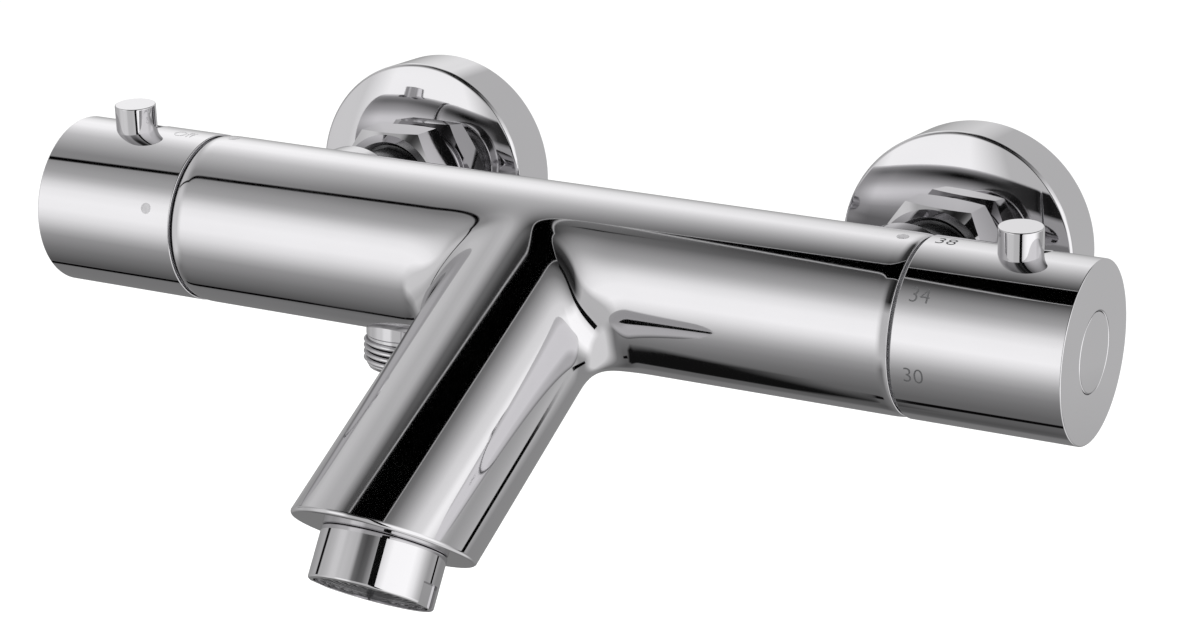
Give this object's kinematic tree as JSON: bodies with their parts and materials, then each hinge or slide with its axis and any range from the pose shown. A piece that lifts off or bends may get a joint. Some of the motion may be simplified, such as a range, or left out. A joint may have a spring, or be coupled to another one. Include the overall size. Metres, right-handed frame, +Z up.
{
  "type": "thermostatic bath and shower valve",
  "caption": "Wall-mounted chrome bath and shower valve: a round bar with a turning knob at each end, a sloping spout with aerator and a hose outlet.",
  "frame": {"origin": "on the wall plane, midway between the hot and cold supplies and level with the body's axis", "axes": "+X along the body to the right, towards the temperature knob; +Y into the wall; +Z up"},
  "size_m": [0.2672, 0.1897, 0.0922],
  "materials": {
    "polished_chrome": "mirror polished chrome plate",
    "turned_brass": "turned brass, unplated",
    "stainless_steel": "stainless steel",
    "grey_plastic": "dark grey moulded plastic",
    "white_plastic": "white acetal",
    "blue_plastic": "blue acetal",
    "black_rubber": "black rubber",
    "ceramic": "lapped alumina ceramic",
    "copper": "copper cup of the wax element"
  },
  "bodies": {
    "valve": {"valve_body": "polished_chrome", "hose_outlet": "polished_chrome", "aerator_housing": "polished_chrome", "aerator_insert": "grey_plastic", "aerator_washer": "black_rubber", "temperature_slide_ring": "grey_plastic", "flow_slide_ring": "grey_plastic", "thermostat_nut": "turned_brass", "diverter_nut": "turned_brass", "thermostat_housing": "turned_brass", "thermostat_orings": "black_rubber", "thermostat_return_spring": "stainless_steel", "temperature_stop_ring": "white_plastic", "diverter_housing": "turned_brass", "diverter_orings": "black_rubber", "diverter_liner": "ceramic", "flow_stop_ring": "white_plastic", "hot_union": "polished_chrome", "cold_union": "polished_chrome", "hot_rosette": "polished_chrome", "cold_rosette": "polished_chrome", "hot_tailpiece": "polished_chrome", "cold_tailpiece": "polished_chrome", "hot_filter_washer": "black_rubber", "cold_filter_washer": "black_rubber", "hot_check_cage": "blue_plastic", "cold_check_cage": "blue_plastic", "hot_check_spring": "stainless_steel", "cold_check_spring": "stainless_steel"},
    "temperature_control": {"temperature_knob": "polished_chrome", "temperature_adapter": "white_plastic", "temperature_screw": "stainless_steel", "temperature_cap": "polished_chrome", "temperature_spindle": "turned_brass", "temperature_button_spring": "stainless_steel"},
    "flow_control": {"flow_knob": "polished_chrome", "flow_adapter": "white_plastic", "flow_screw": "stainless_steel", "flow_cap": "polished_chrome", "flow_spindle": "turned_brass", "diverter_drum": "ceramic", "flow_button_spring": "stainless_steel"},
    "safety_button": {"temperature_button": "polished_chrome"},
    "eco_button": {"flow_button": "polished_chrome"},
    "thermostat_shuttle": {"thermostat_piston": "stainless_steel", "thermostat_wax_element": "copper"},
    "hot_nut": {"hot_union_nut": "polished_chrome"},
    "cold_nut": {"cold_union_nut": "polished_chrome"},
    "hot_poppet": {"hot_check_poppet": "white_plastic"},
    "cold_poppet": {"cold_check_poppet": "white_plastic"}
  },
  "joints": [
    {"name": "temperature_turn", "type": "hinge", "parent": "valve", "child": "temperature_control", "pos_m": [0.114, -0.0803, 0], "axis": [1, 0, 0], "range_deg": [-150, 110]},
    {"name": "flow_turn", "type": "hinge", "parent": "valve", "child": "flow_control", "pos_m": [-0.114, -0.0803, 0], "axis": [1, 0, 0], "range_deg": [-90, 90]},
    {"name": "safety_button_press", "type": "slide", "parent": "temperature_control", "child": "safety_button", "axis": [0, 0.1045, -0.9945], "range_m": [0, 0.0025], "stiffness_N_per_m": 700, "springref_m": -0.0008, "deforming": ["temperature_button_spring"]},
    {"name": "eco_button_press", "type": "slide", "parent": "flow_control", "child": "eco_button", "axis": [0, 0.1045, -0.9945], "range_m": [0, 0.0025], "stiffness_N_per_m": 700, "springref_m": -0.0008, "deforming": ["flow_button_spring"]},
    {"name": "shuttle_slide", "type": "slide", "parent": "valve", "child": "thermostat_shuttle", "axis": [1, 0, 0], "range_m": [-0.0008, 0.0008], "deforming": ["thermostat_return_spring"]},
    {"name": "hot_nut_spin", "type": "hinge", "parent": "valve", "child": "hot_nut", "pos_m": [-0.075, -0.026, 0], "axis": [0, -1, 0], "continuous": true},
    {"name": "cold_nut_spin", "type": "hinge", "parent": "valve", "child": "cold_nut", "pos_m": [0.075, -0.026, 0], "axis": [0, -1, 0], "continuous": true},
    {"name": "hot_check_lift", "type": "slide", "parent": "valve", "child": "hot_poppet", "axis": [0, -1, 0], "range_m": [0, 0.003], "stiffness_N_per_m": 15, "springref_m": -0.002, "deforming": ["hot_check_spring"]},
    {"name": "cold_check_lift", "type": "slide", "parent": "valve", "child": "cold_poppet", "axis": [0, -1, 0], "range_m": [0, 0.003], "stiffness_N_per_m": 15, "springref_m": -0.002, "deforming": ["cold_check_spring"]}
  ],
  "couplings": [
    {"joint": "shuttle_slide", "follows": "temperature_turn", "m_per_rad": 0.00024241}
  ]
}
